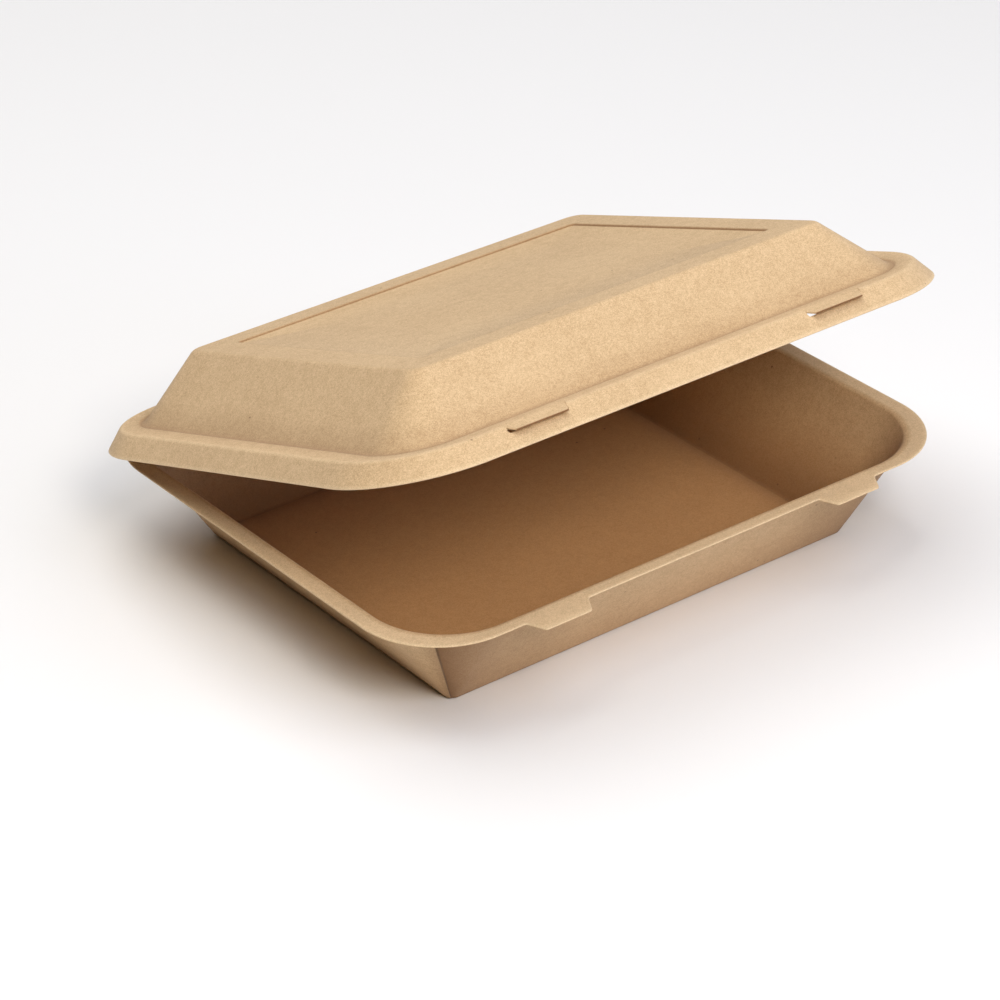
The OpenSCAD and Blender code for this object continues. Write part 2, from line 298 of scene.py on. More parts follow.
def split(vector):
    """The three parts of a vector wire."""
    made = vector.tree.nodes.new("ShaderNodeSeparateXYZ")
    vector.tree.links.new(vector.socket, made.inputs[0])
    return [Wire(vector.tree, socket) for socket in made.outputs]


def rgba(tone):
    """A colour without transparency."""
    return (*tone, 1.0)


# The shell's rows: each is a rounded rectangle with half sizes, corner radius,
# height and marks


def rise(h, lean, b):
    """How far out a rounded bend is, at a height h over its level face."""
    if h >= b * (1 - sin(lean)):
        return h * tan(lean)
    return sqrt(max(0.0, b * b - (b - h) ** 2)) - b * tan((pi / 2 - lean) / 2)


def levels(b, lean, steps=8):
    """Heights of the rows in a rounded bend, closer where it turns from level."""
    return [b * (1 - cos(i * (pi / 2 - lean) / steps)) for i in range(steps + 1)]


def row(x, y, r, z, lap=0.0, inner=0.0, edge=0.0, crease=0.0):
    """A row with its marks: seam step, inner face, pale edge and dark crease."""
    return dict(x=x, y=y, r=r, z=z, lap=lap, inner=inner, edge=edge, crease=crease)


def wall_lean(run, height, sheet):
    """The wall's angle from upright, so that its inner face ends at the mouth."""
    return atan((run + sheet / cos(atan(run / height))) / height)


def tray_rows(s):
    """The tray's section: up the outside, over the rim and down the inside."""
    t, top = s.sheet, s.height
    rim_x, rim_y = s.rim_len / 2, s.rim_dep / 2
    mouth_x, mouth_y = rim_x - s.rim_end_w, rim_y - s.rim_side_w
    floor_x, floor_y = s.floor_len / 2, s.floor_dep / 2
    lean_x = wall_lean(mouth_x - floor_x, top, t)
    lean_y = wall_lean(mouth_y - floor_y, top, t)

    def corner(z):
        """The conical corner's radius at a height."""
        return s.floor_r + (s.mouth_r - s.floor_r) * z / top

    def under(lean):
        """How far the outer face lies outside the inner one, where they turn level."""
        return t / cos(lean) - t * tan(lean)

    def bend(h, b):
        """How far out a bend is in both directions."""
        return rise(h, lean_x, b), rise(h, lean_y, b)

    rows = [row(0, 0, 0, 0), row(floor_x * 0.6, floor_y * 0.6, s.floor_r, 0)]
    for h in levels(s.floor_bend, lean_y):
        out_x, out_y = bend(h, s.floor_bend)
        lap = s.seam_lap * min(1, h / s.floor_bend)
        rows.append(row(floor_x + out_x, floor_y + out_y, corner(h), h, lap))
    b = s.mouth_bend - t
    wall_top = top - t - b
    for i in range(1, 8):
        z = s.floor_bend + (wall_top - s.floor_bend) * i / 8
        x, y = floor_x + z * tan(lean_x), floor_y + z * tan(lean_y)
        rows.append(row(x, y, corner(z), z, s.seam_lap))
    top_x, top_y = mouth_x + under(lean_x), mouth_y + under(lean_y)
    for h in reversed(levels(b, lean_y)):
        (in_x, in_y), z = bend(h, b), top - t - h
        rows.append(row(top_x - in_x, top_y - in_y, corner(z), z, s.seam_lap))

    def rim(w, z, **marks):
        """A row on the flat rim, at a share of its width."""
        r = s.mouth_r + (s.rim_r - s.mouth_r) * w
        return row(mouth_x + s.rim_end_w * w, mouth_y + s.rim_side_w * w, r, z, **marks)

    # rows on the rim lie closer together where the tabs bend down
    fold = 1 - s.tab_fold / s.rim_side_w
    steps = [fold + past for past in (-0.06, 0, 0.06, 0.14, 0.26, 0.42)]
    rows += [rim(w, top - t) for w in steps]
    # the rim's cut edge: paler with loose fibres and a painted highlight
    rows.append(row(rim_x, rim_y, s.rim_r, top - t, edge=0.5))
    edge_r = 0.6 * t
    for turn in (0.0, 22.5, 45.0, 67.5, 90.0):
        a = radians(turn)
        x, y = rim_x - edge_r * (1 - cos(a)), rim_y - edge_r * (1 - cos(a))
        z = top - edge_r * (1 - sin(a))
        rows.append(row(x, y, s.rim_r, z, inner=1, edge=1))
    # painted highlight: the rim's top is made paler
    rows += [rim(w, top, inner=1, edge=0.65) for w in reversed(steps)]
    for h in levels(s.mouth_bend, lean_y, 10):
        in_x, in_y = bend(h, s.mouth_bend)
        rows.append(row(mouth_x - in_x, mouth_y - in_y, s.mouth_r, top - h, inner=1))
    # painted shade: the inside darkens down the wall and is darkest in the floor's corner
    b = s.floor_bend - t
    foot_x, foot_y = floor_x - under(lean_x), floor_y - under(lean_y)
    for i in range(1, 8):
        z = top - s.mouth_bend - (top - t - b - s.mouth_bend) * i / 8
        x, y = foot_x + (z - t) * tan(lean_x), foot_y + (z - t) * tan(lean_y)
        dark = 0.55 * max(0, i / 4 - 0.75) ** 1.3
        rows.append(row(x, y, corner(z) - t * z / top, z, inner=1, crease=dark))
    for h in reversed(levels(b, lean_y)):
        (out_x, out_y), z = bend(h, b), t + h
        dark = 0.8 - 0.3 * h / s.floor_bend
        r = corner(z) - t
        rows.append(row(foot_x + out_x, foot_y + out_y, r, z, inner=1, crease=dark))
    for inset, dark in ((0.02, 0.6), (0.05, 0.4), (0.1, 0.2), (0.18, 0.07), (0.3, 0.0)):
        x, y = floor_x - floor_y * inset, floor_y * (1 - inset)
        rows.append(row(x, y, s.floor_r, t, inner=1, crease=dark))
    return rows + [row(0, 0, 0, t, inner=1)]


def lid_rows(s, t):
    """The lid's upper face from its middle to the skirt's edge, and where to cut it."""
    rim_x, rim_y = t.rim_len / 2, t.rim_dep / 2
    sheet = t.sheet
    # heights over the rim
    ledge = s.lid_gap + sheet
    groove, ridge = ledge - s.groove_h, ledge + s.ridge_h
    foot_x, foot_y = s.foot_len / 2, s.foot_dep / 2
    top_x, top_y = s.top_len / 2, s.top_dep / 2
    panel_x, panel_y = s.panel_len / 2, s.panel_dep / 2
    lean_x = atan((foot_x - top_x) / (s.dome_h - groove))
    lean_y = atan((foot_y - top_y) / (s.dome_h - groove))
    slope = tan(s.skirt_slope)
    skirt = s.edge_gap + sheet / sin(s.skirt_slope)
    ridge_out = skirt - ridge / slope
    skirt_lean = pi / 2 - s.skirt_slope
    ridge_r = t.rim_r + ridge_out

    def corner(z):
        """The dome's corner radius at a height."""
        return s.foot_r + (s.top_r - s.foot_r) * (z - groove) / (s.dome_h - groove)

    def bend(h, b):
        """How far out a bend is in both directions."""
        return rise(h, lean_x, b), rise(h, lean_y, b)

    def outside(out, z, edge=0.0):
        """A row that runs round the rim at an even distance from it."""
        r = ridge_r + out - ridge_out
        return row(rim_x + out, rim_y + out, r, z, inner=1, edge=edge)

    low = s.dome_h - s.panel_sink
    wall = 0.6 * s.panel_sink
    rows = [row(0, 0, 0, low), row(panel_x * 0.55, panel_y * 0.55, s.panel_r, low)]
    # the panel's wall is a soft step with a line of painted shade along it
    for i in range(9):
        a = i / 8
        inset = wall * (1 - a)
        z = low + s.panel_sink * (1 - cos(pi * a)) / 2
        dark = 0.85 * min(a / 0.4, max(0.3, (1 - a) / 0.6))
        x, y = panel_x - 1.3 * inset, panel_y - 1.3 * inset
        rows.append(row(x, y, s.panel_r - 0.9 * inset, z, crease=dark))
    rows.append(row(panel_x + wall, panel_y + wall, s.panel_r + wall, s.dome_h))
    x, y = (panel_x + top_x) / 2, (panel_y + top_y) / 2
    rows.append(row(x, y, (s.panel_r + s.top_r) / 2, s.dome_h))
    for h in levels(s.top_bend, lean_y, 10):
        (out_x, out_y), z = bend(h, s.top_bend), s.dome_h - h
        rows.append(row(top_x + out_x, top_y + out_y, corner(z), z))
    high = s.dome_h - s.top_bend
    low = groove + s.foot_bend
    # painted shade gathers down the dome's wall and round the hollow at its foot
    for i in range(1, 12):
        z = high + (low - high) * i / 12
        x = foot_x - (z - groove) * tan(lean_x)
        y = foot_y - (z - groove) * tan(lean_y)
        dark = 0.2 * max(0, 1 - (z - low) / (1.7 * s.foot_bend)) ** 2
        rows.append(row(x, y, corner(z), z, crease=dark))
    for i, h in enumerate(reversed(levels(s.foot_bend, lean_y, 10))):
        (in_x, in_y), z = bend(h, s.foot_bend), groove + h
        r = corner(z) + h * tan(lean_x) - in_x
        rows.append(row(foot_x - in_x, foot_y - in_y, r, z, crease=0.2 + 0.04 * i))
    # a shallow groove runs round the foot, with painted shade along it
    flat = s.foot_bend * tan((pi / 2 - lean_x) / 2)
    flat_y = s.foot_bend * tan((pi / 2 - lean_y) / 2)
    run = 4 * s.groove_h
    for i in range(1, 9):
        out = flat + run * i / 8
        out_y = flat_y + (flat + run - flat_y) * i / 8
        z = groove + s.groove_h * (1 - cos(pi * i / 8)) / 2
        dark = 0.6 - 0.4 * i / 8
        rows.append(row(foot_x + out, foot_y + out_y, s.foot_r + out, z, crease=dark))
    # the ledge climbs a little to the ridge; the tongues leave it at their root
    inner_x, inner_y = foot_x + flat + run, foot_y + flat + run
    inner_r = s.foot_r + flat + run
    start = ridge_out - s.ridge_bend * tan(s.skirt_slope / 2)
    root = ridge_out - 0.9 * s.ridge_bend
    climb = s.ridge_h * (rim_y + root - inner_y) / (rim_y + start - inner_y)
    # the groove's painted shade fades out across the ledge
    for w in (0.35, 0.7):
        x = inner_x + w * (rim_x + root - inner_x)
        y = inner_y + w * (rim_y + root - inner_y)
        r = inner_r + w * (ridge_r + root - ridge_out - inner_r)
        rows.append(row(x, y, r, ledge + climb * w, crease=0.15 * (1 - w)))
    marks = {"root": len(rows)}
    rows.append(outside(root, ledge + climb))
    # one row of the ridge's bend lies level with the hinge strip
    strip_h = ridge - ledge
    for h in sorted(levels(s.ridge_bend, skirt_lean, 8) + [strip_h]):
        if h == strip_h:
            marks["strip"] = len(rows)
        out = ridge_out + rise(h, skirt_lean, s.ridge_bend)
        # painted highlight along the ridge's top
        painted_highlight = 0.4 * max(0, 1 - h / (0.3 * s.ridge_bend))
        rows.append(outside(out, ridge - h, painted_highlight))
    droop = tan(t.tab_droop)
    tab_level = -(t.tab_fold + skirt) * droop
    slit = (tab_level - sheet / cos(t.tab_droop) - s.latch_gap) / (1 - droop / slope)
    # the sheet's inner face lies lower on the skirt, so the slit opens above the tab
    # by that much
    level = tab_level + sheet * (cos(s.skirt_slope) + droop) + s.latch_gap
    marks["level"] = len(rows)
    marks["slit"] = marks["level"] + 1
    for z in (level, slit, -0.5 * s.skirt_drop, -0.8 * s.skirt_drop):
        rows.append(outside(skirt - z / slope, z))
    # the skirt's cut edge: paler with loose fibres and a painted highlight
    rows.append(outside(skirt + s.skirt_drop / slope, -s.skirt_drop, edge=1))
    # the tongue starts here and its tip comes to lie just over the tab
    marks["tongue_y"] = rim_y + root
    sink = (root + s.tongue_len + t.tab_fold) * droop
    marks["tip_z"] = 1.05 * sheet + s.latch_gap - sink
    return rows, marks


# The outline: where each column of a shell stands on a row


def beside_tabs(offsets, pitch, half):
    """Places on the front side at these distances from the tabs' middles."""
    return [
        (side * pitch / 2 + way * off) / half
        for side in (-1, 1)
        for off in offsets
        for way in (-1, 1)
    ]


def side_places(knots, spacing):
    """Places from 1 to -1 along a side: every knot, and at most a spacing apart."""
    stops = sorted({1.0, -1.0, *knots}, reverse=True)
    places = []
    for a, b in zip(stops, stops[1:]):
        # rounded up, but not for a hair more than a whole number
        n = max(1, round((a - b) / spacing(0.5 * (a + b)) + 0.499))
        places += [a + (b - a) * i / n for i in range(n)]
    return places


def seam_marks(turn):
    """Step, shade and dark line of the seam at a direction in a corner, in degrees."""
    past = turn - SEAM
    if past > 0:
        lap, shade = 0, exp(-past / 90)
    else:
        lap, shade = min(max(0, turn - 18) / 26.5, 1.0), 0.42 * max(0, 1 + past / 16)
    dark = 1.0 if abs(past) < 0.6 else (0.35 if abs(past) < 1 else 0.0)
    return lap, shade, dark


def outline_points(front, back):
    """Columns all round: place on the row, direction of its corner and seam marks."""
    steps = 24
    even = [i * 90 / steps for i in range(steps + 1)]
    close = [43.2, 44.1, 44.5, 45.5, 45.9, 46.8]
    corner = sorted([a for a in even if abs(a - SEAM) > 1] + close)
    signs = [(1, 1), (-1, 1), (-1, -1), (1, -1)]
    columns = []
    for quarter, (sx, sy) in enumerate(signs):
        for a in corner:
            turn = a if quarter % 2 == 0 else 90 - a
            way = radians(a + 90 * quarter)
            columns.append((sx, sy, cos(way), sin(way), *seam_marks(turn)))
        # the side up to the next corner, without the columns that the corners have
        nx, _ = signs[(quarter + 1) % 4]
        way = radians(90 * (quarter + 1))
        facing = (round(cos(way)), round(sin(way)))
        if sx != nx:
            # the seam's painted shade goes on and fades along the side
            for place in (back if sy > 0 else front)[1:]:
                shade = exp(-0.5 - 4.0 * (1 - abs(place)))
                columns.append((place * sx, sy, *facing, 0, shade, 0))
        else:
            for i in range(1, 30):
                columns.append((sx, sy * (1 - 2 * i / 30), *facing, 0, 0, 0))
    return columns


ROW_MARKS = ("r", "lap", "inner", "edge", "crease")
COLUMN_MARKS = ("turn_x", "turn_y", "lift", "shade", "dark")


def marked_points(name, places, marks):
    """A helper mesh of loose points that carry numbers."""
    mesh = bpy.data.meshes.new(name)
    mesh.from_pydata(places, [], [])
    for key, values in marks.items():
        mesh.attributes.new(key, "FLOAT", "POINT").data.foreach_set("value", values)
    made = bpy.data.objects.new(name, mesh)
    bpy.context.scene.collection.objects.link(made)
    return made


def geometry_tree(name, inputs):
    """An empty geometry tree with its named inputs, and a wire for each of them."""
    tree = bpy.data.node_groups.new(name, "GeometryNodeTree")
    face = tree.interface
    face.new_socket(name="Geometry", in_out="INPUT", socket_type="NodeSocketGeometry")
    for key, kind in inputs.items():
        face.new_socket(name=key, in_out="INPUT", socket_type="NodeSocket" + kind)
    face.new_socket(name="Geometry", in_out="OUTPUT", socket_type="NodeSocketGeometry")
    source = tree.nodes.new("NodeGroupInput")
    return tree, {key: Wire(tree, source.outputs[key]) for key in ("Geometry", *inputs)}


def close_tree(tree, geometry, material):
    """Ends a geometry tree in plain, finished geometry."""
    real = geometry.node("GeometryNodeRealizeInstances", None, {"Geometry": geometry})
    values = {"Geometry": real, "Material": material}
    done = real.node("GeometryNodeSetMaterial", None, values)
    end = tree.nodes.new("NodeGroupOutput")
    tree.links.new(done.socket, end.inputs["Geometry"])
    return tree


def sweep_tree():
    """Carries every row round the outline and joins them to one skin."""
    tree, wire = geometry_tree(
        "Sweep rows round an outline", {"Outline": "Object", "Material": "Material"}
    )
    rows = wire["Geometry"]
    values = {"Object": wire["Outline"]}
    outline = rows.node("GeometryNodeObjectInfo", None, values, "Geometry")

    def count(geometry):
        return geometry.node("GeometryNodeAttributeDomainSize", None, {0: geometry})

    around = count(outline)
    grid = {"Size X": 1.0, "Size Y": 1.0, "Vertices X": count(rows)}
    grid["Vertices Y"] = around + 1
    skin = rows.node("GeometryNodeMeshGrid", None, grid)
    index = rows.node("GeometryNodeInputIndex")
    which = ((index + 0.5) / (around + 1)).math("FLOOR")
    column = (index - which * (around + 1)).math("MODULO", around)

    def sample(geometry, key, at, kind="FLOAT"):
        if key == "position":
            value = geometry.node("GeometryNodeInputPosition")
        else:
            value = geometry.node(
                "GeometryNodeInputNamedAttribute", {"data_type": kind}, {"Name": key}
            )
        values = {"Geometry": geometry, "Value": value, "Index": at}
        return geometry.node("GeometryNodeSampleIndex", {"data_type": kind}, values)

    half_x, half_y, height = split(sample(rows, "position", which, "FLOAT_VECTOR"))
    of_row = {key: sample(rows, key, which) for key in ROW_MARKS}
    place_x, place_y, _ = split(sample(outline, "position", column, "FLOAT_VECTOR"))
    of_column = {key: sample(outline, key, column) for key in COLUMN_MARKS}
    reach = of_row["r"] + of_row["lap"] * of_column["lift"]
    place = rows.node(
        "ShaderNodeCombineXYZ",
        None,
        {
            0: (half_x - of_row["r"]) * place_x + reach * of_column["turn_x"],
            1: (half_y - of_row["r"]) * place_y + reach * of_column["turn_y"],
            2: height,
        },
    )
    folded = of_row["lap"].math("GREATER_THAN", 0.0001)
    values = {"Geometry": skin, "Position": place}
    skin = skin.node("GeometryNodeSetPosition", None, values)
    for key, value in {
        "row": which,
        "inner": of_row["inner"],
        "edge": of_row["edge"],
        "crease": of_row["crease"],
        # painted shade and painted shadow line of the seams, only on rows that carry the lap
        "shade": of_column["shade"] * folded,
        "dark": of_column["dark"] * folded,
    }.items():
        values = {"Geometry": skin, "Name": key, "Value": value}
        skin = skin.node("GeometryNodeStoreNamedAttribute", None, values)
    values = {"Geometry": skin, "Distance": WELD}
    skin = skin.node("GeometryNodeMergeByDistance", None, values)
    return close_tree(tree, skin, wire["Material"])


def tab_tree():
    """Pulls the front rim out into two lock tabs and bends them down."""
    sizes = ("Pitch", "Root", "Tip", "Length", "Rounding", "Droop")
    inputs = dict.fromkeys((*sizes, "Fold Line", "Edge Line"), "Float")
    inputs["Material"] = "Material"
    tree, wire = geometry_tree("Pull tabs from a rim", inputs)
    skin = wire["Geometry"]
    x, y, _ = split(skin.node("GeometryNodeInputPosition"))
    within = wire["Root"] / 2 - abs(abs(x) - wire["Pitch"] / 2)
    slant = within / ((wire["Root"] - wire["Tip"]) / 2) * wire["Length"]
    reach = slant.math("SMOOTH_MIN", wire["Length"], wire["Rounding"])
    reach = reach.math("SMOOTH_MAX", 0.0, wire["Rounding"])
    past = (-y - wire["Fold Line"]).math("MAXIMUM", 0.0)
    part = (past / (wire["Edge Line"] - wire["Fold Line"])).math("MINIMUM", 1.0)
    out = reach * part
    # the bend fades out beside the tab's root
    sink = (past + out) * wire["Droop"] * within.step(-0.0014, 0.0008)
    shift = skin.node("ShaderNodeCombineXYZ", None, {0: 0.0, 1: -out, 2: -sink})
    values = {"Geometry": skin, "Offset": shift}
    skin = skin.node("GeometryNodeSetPosition", None, values)
    return close_tree(tree, skin, wire["Material"])


def use_tree(made, tree, values):
    """Adds a geometry tree to an object and sets its inputs by their identifiers."""
    modifier = made.modifiers.new(tree.name, "NODES")
    modifier.node_group = tree
    for item in tree.interface.items_tree:
        if item.in_out == "INPUT" and item.name in values:
            modifier[item.identifier] = values[item.name]


def finished(made, name):
    """A plain mesh object with an object's modifiers worked in; the old one goes."""
    bpy.context.view_layer.update()
    graph = bpy.context.evaluated_depsgraph_get()
    mesh = bpy.data.meshes.new_from_object(made.evaluated_get(graph))
    mesh.name = name
    material = next(m for m in mesh.materials if m)
    mesh.materials.clear()
    mesh.materials.append(material)
    bpy.data.meshes.remove(made.data)  # its object goes with it
    done = bpy.data.objects.new(name, mesh)
    bpy.context.scene.collection.objects.link(done)
    return done


def sweep(name, rows, columns, material):
    """One skin from rows and columns."""
    base = marked_points(
        name + "_rows",
        [(r["x"], r["y"], r["z"]) for r in rows],
        {key: [float(r[key]) for r in rows] for key in ROW_MARKS},
    )
    outline = marked_points(
        name + "_outline",
        [(c[0], c[1], 0) for c in columns],
        {key: [float(c[2 + i]) for c in columns] for i, key in enumerate(COLUMN_MARKS)},
    )
    use_tree(base, sweep_tree(), {"Outline": outline, "Material": material})
    made = finished(base, name)
    bpy.data.meshes.remove(outline.data)
    return made


def smooth(mesh):
    """Smooth shading that keeps the sharp edges."""
    mesh.shade_smooth()
    mesh.set_sharp_from_angle(angle=radians(SHARP))


def outward(mesh):
    """Makes a closed mesh's faces point outwards."""
    b = bmesh.new()
    b.from_mesh(mesh)
    bmesh.ops.recalc_face_normals(b, faces=b.faces)
    b.to_mesh(mesh)
    b.free()


# Materials


def kraft_fibre(name, look, walled):
    """Unbleached moulded fibre: mottled, with short fibres, dark flecks and folds."""
    material = bpy.data.materials.new(name)
    material.use_nodes = True
    tree = material.node_tree
    shader = tree.nodes["Principled BSDF"]
    start = Wire(tree, None)
    place = start.node("ShaderNodeTexCoord", None, None, "Object")

    def noise(scale, detail, rough, at=place):
        values = {"Vector": at, "Scale": scale, "Detail": detail, "Roughness": rough}
        return start.node("ShaderNodeTexNoise", None, values)

    def stretched(scale, turn):
        values = {"Vector": place, "Rotation": turn, "Scale": scale}
        return start.node("ShaderNodeMapping", None, values)

    def cells(out):
        values = {"Vector": place, "Scale": 210.0}
        return start.node("ShaderNodeTexVoronoi", None, values, out)

    def mark(key):
        return start.node("ShaderNodeAttribute", {"attribute_name": key}, None, "Fac")

    # scale per metre, detail, roughness
    grain = noise(2600, 3.0, 0.7)
    felt = noise(900, 4.0, 0.6)
    mottle = noise(260, 3.0, 0.5)
    cloud = noise(28, 2.0, 0.5)
    # short fibres that lie every way in the sheet
    hairs = None
    for scale, turn in (
        ((2600, 260, 2600), (0.3, 0.2, 0.5)),
        ((260, 2600, 2600), (0.1, 0.4, 0.9)),
        ((1900, 1900, 230), (0.7, 0.5, 0.2)),
    ):
        strand = noise(1.0, 2.0, 0.5, stretched(scale, turn))
        line = 1 - (abs(strand - 0.5) * 16).math("MINIMUM", 1.0)
        hairs = line if hairs is None else hairs.math("MAXIMUM", line)
    # one cell in twenty holds a dark speck
    pick = start.node("ShaderNodeSeparateColor", None, {0: cells("Color")}, 0)
    chosen = pick.math("LESS_THAN", 0.05)
    specks = cells("Distance").step(0.05, 0.11, 1.0, 0.0) * chosen
    tone = (felt - 0.5) * 0.9 + (mottle - 0.5) * 0.45 + (grain - 0.5) * 2.4
    tone = tone * look.mottle + (cloud - 0.5) * 0.4 + (hairs - 0.2) * 0.2 + 0.5
    tone = tone.step(-0.2, 1.2)
    body = mix(tone, rgba(look.deep), rgba(look.pale))
    edge = mark("edge")
    if walled:
        # painted shade: walls grow browner downwards, more so inside, and darken at the seams
        inner = mark("inner")
        low = split(place)[2].step(0.0, tray_high.z, 1.0, 0.0)
        low = inner * (low * 0.55 + 0.2) + (1 - inner) * (low * 0.3 + 0.08)
        body = mix(low * (1 - edge), body, rgba(look.wall_shade))
        # painted shade beside each corner seam and a painted shadow line along its step
        body = mix(mark("shade") * 0.9, body, rgba(look.fold))
        body = mix(mark("dark") * 0.95, body, rgba(look.fleck_and_seam_shadow))
    # painted shade in creases, hollows, grooves and along the tongues' tips
    body = mix(mark("crease"), body, rgba(look.fold))
    # loose fibres pale the cut edges; the same mix paints highlights on the ridge, the rim's top and the cut
    # edges
    body = mix(edge * 0.5, body, rgba(look.fluff_and_highlight))
    body = mix(specks * 0.75, body, rgba(look.fleck_and_seam_shadow))
    values = {"Vector": body, "Scale": (tone - 0.5) * 0.16 + 1}
    body = body.node("ShaderNodeVectorMath", {"operation": "SCALE"}, values)
    tree.links.new(body.socket, shader.inputs["Base Color"])
    rough = 0.9 - (grain - 0.5) * 0.2
    tree.links.new(rough.socket, shader.inputs["Roughness"])
    shader.inputs["Specular IOR Level"].default_value = 0.28
    shader.inputs["Sheen Weight"].default_value = 0.08
    shader.inputs["Sheen Roughness"].default_value = 0.6
    height = grain * 0.35 + felt * 0.45 + hairs * 0.2 + mottle * 0.5
    values = {"Strength": 0.6, "Distance": look.grain, "Height": height}
    bump = start.node("ShaderNodeBump", None, values)
    tree.links.new(bump.socket, shader.inputs["Normal"])
    return material


def plain(name, tone, rough):
    """An even matt material."""
    material = bpy.data.materials.new(name)
    material.use_nodes = True
    shader = material.node_tree.nodes["Principled BSDF"]
    shader.inputs["Base Color"].default_value = rgba(tone)
    shader.inputs["Roughness"].default_value = rough
    shader.inputs["Specular IOR Level"].default_value = 0.2
    return material


class MakeTray(bpy.types.Operator):
    """Make the tray: floor, walls, corner seams, rim and lock tabs, in one sheet"""

    bl_idname = "takeaway.make_tray"
    bl_label = "Tray"

    def execute(self, context):
        s, lid = context.scene.takeaway_tray, context.scene.takeaway_lid
        material = kraft_fibre("kraft_fibre_tray", context.scene.takeaway_fibre, True)
        half = s.rim_len / 2 - s.rim_r
        outer = s.tab_root / 2 + TAB_MARGIN
        knots = beside_tabs((0.6 * s.tab_tip / 2, outer), s.tab_pitch, half)

        def spacing(place):
            """Close columns where a tab's slanted ends leave the rim."""
            off = abs(abs(place) * half - s.tab_pitch / 2)
            near = 0.75 * s.tab_tip / 2 < off < outer
            return (CLOSE if near else APART) / half

        front = side_places(knots, spacing)
        back = side_places([], lambda place: 0.08)
        made = sweep("tray_shell", tray_rows(s), outline_points(front, back), material)
        outward(made.data)
        use_tree(
            made,
            tab_tree(),
            {
                "Pitch": s.tab_pitch,
                "Root": s.tab_root,
                "Tip": s.tab_tip,
                "Length": s.tab_len,
                "Fold Line": s.rim_dep / 2 - s.tab_fold,
                "Edge Line": s.rim_dep / 2 - 0.7 * s.sheet,
                "Rounding": s.tab_bend,
                "Droop": tan(s.tab_droop),
                "Material": material,
            },
        )
        made = finished(made, "tray_shell")
        front_y, back_y = s.rim_dep / 2 - OVERLAP, HINGE_Y - lid.hinge_gap
        low, high = s.height - s.sheet, s.height
        section = [(front_y, low), (back_y, low), (back_y, high), (front_y, high)]
        join(made, bar_mesh("tray_strip", section, lid.hinge_len))
        smooth(made.data)
        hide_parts("tray")
        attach(made, "tray")
        return {"FINISHED"}


def bar_mesh(name, section, width):
    """A closed bar along the hinge: the two halves of its section face each other."""
    b = bmesh.new()
    n, steps = len(section), 40
    rings = []
    for i in range(steps + 1):
        x = width * (i / steps - 0.5)
        rings.append([b.verts.new((x, y, z)) for y, z in section])
    for one, two in zip(rings, rings[1:]):
        for j in range(n):
            k = (j + 1) % n
            b.faces.new((one[j], one[k], two[k], two[j]))
    for ring in (rings[0], rings[-1]):
        for j in range(n // 2 - 1):
            b.faces.new((ring[j], ring[j + 1], ring[n - 2 - j], ring[n - 1 - j]))
    mesh = bpy.data.meshes.new(name)
    b.to_mesh(mesh)
    b.free()
    outward(mesh)
    return mesh


def join(made, mesh):
    """Adds a mesh to an object, with the object's material."""
    b = bmesh.new()
    b.from_mesh(made.data)
    b.from_mesh(mesh)
    b.to_mesh(made.data)
    b.free()
    bpy.data.meshes.remove(mesh)


class MakeLid(bpy.types.Operator):
    """Make the lid: panel, dome, groove, ridge, skirt and slits, in one sheet"""

    bl_idname = "takeaway.make_lid"
    bl_label = "Lid"

    def execute(self, context):
        s, t = context.scene.takeaway_lid, context.scene.takeaway_tray
        material = kraft_fibre("kraft_fibre_lid", context.scene.takeaway_fibre, False)
        half = t.rim_len / 2 - t.rim_r
        # columns at the tongue's edge, its cut, the slit's end and where room is made,
        # kept in this order
        cut = s.tongue_root / 2 + s.tongue_cut
        slit_end = max(cut + 0.0004, t.tab_root / 2 + 0.0007)
        knot = (s.tongue_root / 2, cut, slit_end, LATCH_REACH)
        knots = beside_tabs(knot, t.tab_pitch, half)
        front = side_places(knots, lambda place: APART / half)
        strip = s.hinge_len / 2 / half
        back = side_places([strip, -strip], lambda place: 0.006 / half)
        rows, marks = lid_rows(s, t)
        made = sweep("lid_shell", rows, outline_points(front, back), material)
        b = bmesh.new()
        b.from_mesh(made.data)
        # the faces have to look up, because the sheet's thickness is laid under them
        if sum(f.normal.z * f.calc_area() for f in b.faces) < 0:
            bmesh.ops.reverse_faces(b, faces=b.faces)
        cut_latch(b, s, t, marks, knot)
        cut_back(b, s, t, marks)
        b.to_mesh(made.data)
        b.free()
        wall = made.modifiers.new("Sheet", "SOLIDIFY")
        wall.thickness, wall.offset = t.sheet, -1
        wall.use_even_offset, wall.use_quality_normals = True, True
        edge = made.modifiers.new("Edges", "BEVEL")
        edge.width, edge.segments = WORN_EDGE, 2
        edge.limit_method, edge.angle_limit = "ANGLE", radians(60)
        made = finished(made, "lid_shell")
        # up to the rim and open by the angle of rest
        turn = Matrix.Rotation(-OPEN, 4, "X")
        fold = Matrix.Translation((0, HINGE_Y, HINGE_Z))
        up = Matrix.Translation((0, 0, t.height))
        made.data.transform(fold @ turn @ fold.inverted() @ up)
        smooth(made.data)
        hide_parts("lid")
        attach(made, "lid")
        return {"FINISHED"}


